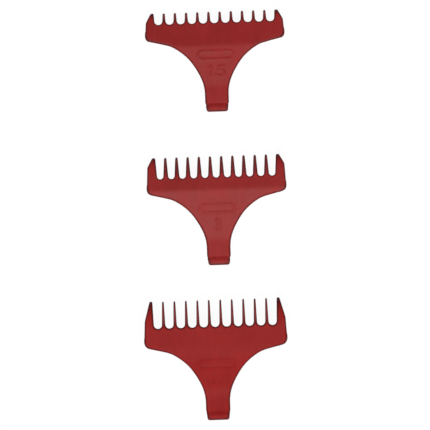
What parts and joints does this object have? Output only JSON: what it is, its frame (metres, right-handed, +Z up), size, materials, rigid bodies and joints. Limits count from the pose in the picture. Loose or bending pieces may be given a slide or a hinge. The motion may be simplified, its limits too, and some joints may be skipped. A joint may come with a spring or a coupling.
{
  "type": "clipper guard comb set",
  "caption": "Graded set of clip-on guard combs for a T-blade hair trimmer: T-shaped plastic plate, comb teeth along the front, end lugs, and a tail with a hook and finger lip.",
  "frame": {"origin": "centre of the set's footprint, on the surface the guards lie on", "axes": "+X across the combs, +Y from the tails towards the teeth (the column runs from the longest cut at -Y to the shortest at +Y), +Z up out of the skin side"},
  "size_m": [0.0378, 0.1022, 0.0094],
  "materials": {
    "red_plastic": "satin injection-moulded polypropylene, deep red, slightly translucent at the thin teeth"
  },
  "bodies": {
    "medium_guard": {"guard_medium": "red_plastic"},
    "short_guard": {"guard_short": "red_plastic"},
    "long_guard": {"guard_long": "red_plastic"}
  },
  "joints": [
    {"name": "short_guard_lift", "type": "slide", "parent": "medium_guard", "child": "short_guard", "axis": [0, 0, 1], "range_m": [0, 0.04]},
    {"name": "long_guard_lift", "type": "slide", "parent": "medium_guard", "child": "long_guard", "axis": [0, 0, 1], "range_m": [0, 0.04]}
  ]
}
